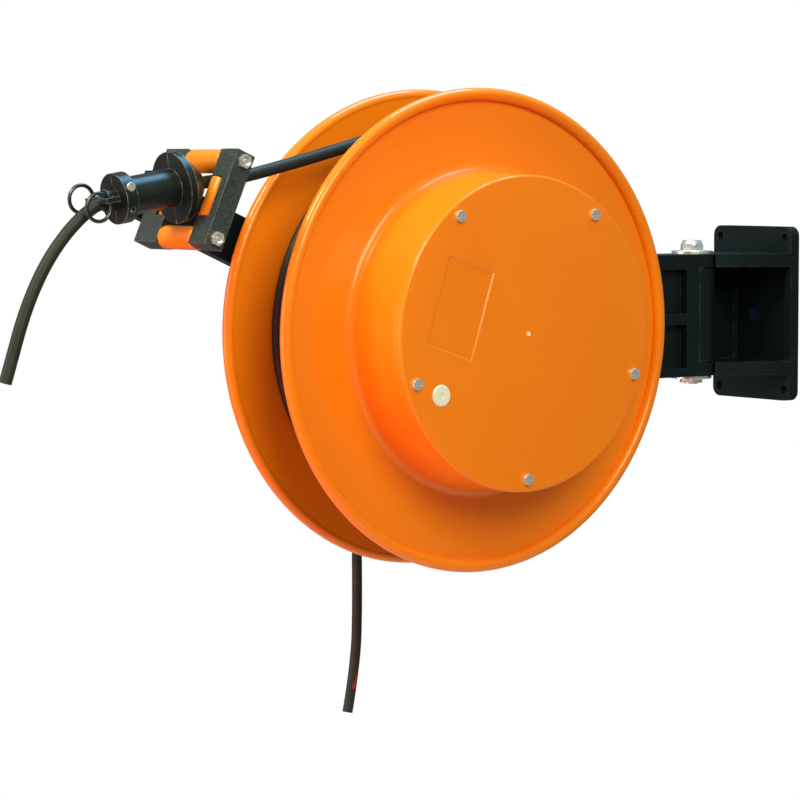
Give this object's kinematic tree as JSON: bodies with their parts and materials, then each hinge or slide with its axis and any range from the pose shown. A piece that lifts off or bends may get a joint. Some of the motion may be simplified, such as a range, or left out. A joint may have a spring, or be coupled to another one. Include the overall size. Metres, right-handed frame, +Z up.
{
  "type": "spring cable reel",
  "caption": "Wall-mounted spring-return cable reel: drum with spring housing on a swivel arm, roller cable guide, cable stop and slip-ring feed.",
  "frame": {"origin": "centre of the wall plate's back face, in the middle of the fixing holes", "axes": "+X points into the wall, +Z up, the front of the drum faces -Y and the cable leaves towards -X"},
  "size_m": [0.8609, 0.2692, 0.5402],
  "materials": {
    "black_casting": "gloss",
    "orange_paint": "gloss",
    "zinc_steel": "satin",
    "bright_steel": "polished",
    "spring_steel": "satin",
    "brass": "satin",
    "bronze": "matte",
    "carbon": "matte",
    "cable_rubber": "matte",
    "black_plastic": "satin",
    "guide_plastic": "matte",
    "orange_plastic": "satin",
    "white_plastic": "satin",
    "blue_plastic": "satin",
    "grey_plastic": "satin",
    "insulator": "satin"
  },
  "bodies": {
    "bracket": {"wall_bracket": "black_casting", "bore_cap": "blue_plastic", "hinge_bushes": "bronze"},
    "arm": {"swivel_arm": "black_casting", "hinge_bolt": "zinc_steel", "hinge_washers": "zinc_steel", "hinge_nut": "zinc_steel", "axle": "bright_steel", "circlips": "spring_steel", "terminal_box": "black_plastic", "terminal_cover": "black_plastic", "terminal_screws": "zinc_steel", "terminal_block": "white_plastic", "supply_gland": "grey_plastic", "gland_nut": "grey_plastic", "supply_cable": "cable_rubber", "spring_arbor": "spring_steel", "ring_carrier": "insulator", "slip_rings": "brass", "guide_arm": "black_casting", "arm_bolts": "zinc_steel", "guide_spacers": "zinc_steel", "spacer_screws": "zinc_steel", "guide_bracket_front": "guide_plastic", "guide_bracket_back": "guide_plastic", "guide_bolts": "zinc_steel", "roller_pins": "bright_steel", "stop_half_front": "black_plastic", "stop_half_back": "black_plastic", "stop_screws": "zinc_steel", "ring_collar": "black_plastic", "pull_rings": "spring_steel", "cable_run": "cable_rubber", "pawl_pin": "bright_steel", "pawl_spring": "spring_steel"},
    "drum": {"drum_front": "orange_paint", "drum_back": "orange_paint", "drum_screws": "zinc_steel", "spring_cover": "orange_paint", "cover_screws": "zinc_steel", "cover_plug": "white_plastic", "centre_pin": "white_plastic", "mainspring": "spring_steel", "bearings": "bright_steel", "ratchet_wheel": "zinc_steel", "brush_holder": "insulator", "brushes": "carbon", "drum_gland": "grey_plastic", "inner_lead": "cable_rubber", "cable_coil": "cable_rubber"},
    "pawl": {"pawl": "zinc_steel"},
    "top_roller": {"roller_top": "orange_plastic"},
    "bottom_roller": {"roller_bottom": "orange_plastic"},
    "front_roller": {"roller_front": "orange_plastic"},
    "back_roller": {"roller_back": "orange_plastic"}
  },
  "joints": [
    {"name": "arm_swivel", "type": "hinge", "parent": "bracket", "child": "arm", "pos_m": [-0.0845, 0, 0], "axis": [0, 0, 1], "range_deg": [-40, 40]},
    {"name": "drum_spin", "type": "hinge", "parent": "arm", "child": "drum", "pos_m": [-0.4245, -0.0798, 0], "axis": [0, -1, 0], "range_deg": [0, 6480], "stiffness_Nm_per_rad": 0.03, "springref_deg": -3437.75},
    {"name": "pawl_pivot", "type": "hinge", "parent": "arm", "child": "pawl", "pos_m": [-0.3505, -0.0368, 0.022], "axis": [0, -1, 0], "range_deg": [0, 25], "stiffness_Nm_per_rad": 0.03, "springref_deg": -28.65},
    {"name": "top_roller_spin", "type": "hinge", "parent": "arm", "child": "top_roller", "pos_m": [-0.6636, -0.0798, 0.13951], "axis": [0, -1, 0], "continuous": true},
    {"name": "bottom_roller_spin", "type": "hinge", "parent": "arm", "child": "bottom_roller", "pos_m": [-0.6896, -0.0798, 0.07972], "axis": [0, -1, 0], "continuous": true},
    {"name": "front_roller_spin", "type": "hinge", "parent": "arm", "child": "front_roller", "pos_m": [-0.6766, -0.1083, 0.10962], "axis": [-0.3987, 0, -0.9171], "continuous": true},
    {"name": "back_roller_spin", "type": "hinge", "parent": "arm", "child": "back_roller", "pos_m": [-0.6766, -0.0513, 0.10962], "axis": [-0.3987, 0, -0.9171], "continuous": true}
  ]
}
